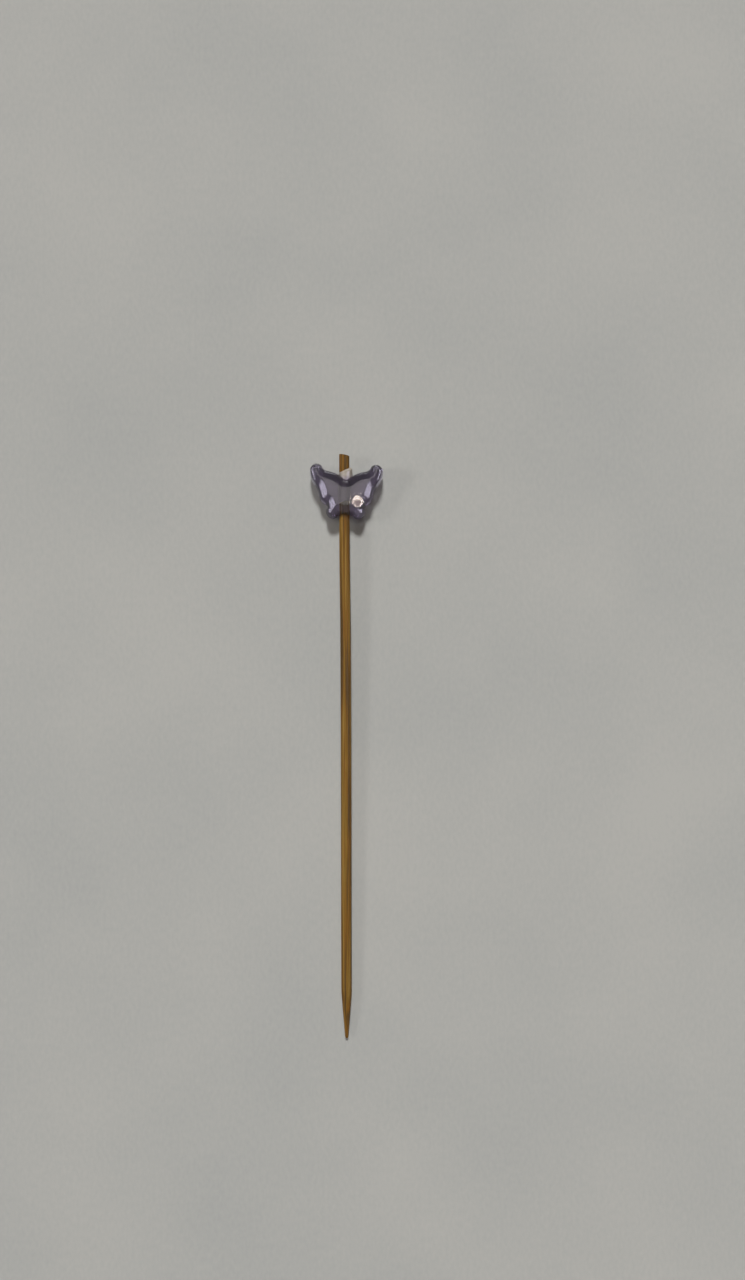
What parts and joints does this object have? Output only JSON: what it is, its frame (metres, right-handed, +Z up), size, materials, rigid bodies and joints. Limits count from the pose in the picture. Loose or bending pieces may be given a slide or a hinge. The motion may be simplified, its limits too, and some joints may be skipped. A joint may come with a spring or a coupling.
{
  "type": "food pick",
  "caption": "Bamboo skewer food pick with one pointed end and a clear lilac butterfly bead glued near its blunt end.",
  "frame": {"origin": "centre of the overall box, on the surface that the pick lies on", "axes": "+Y along the skewer towards the bead and the blunt end, +X across the wings, +Z up"},
  "size_m": [0.015, 0.12, 0.0051],
  "materials": {
    "bamboo": "carbonised bamboo, smooth, lengthwise fibres",
    "clear_lilac": "transparent lilac acrylic, polished",
    "glue": "milky dried glue, satin"
  },
  "bodies": {
    "root": {"skewer": "bamboo", "butterfly_bead": "clear_lilac", "glue_dab": "glue"}
  },
  "joints": []
}
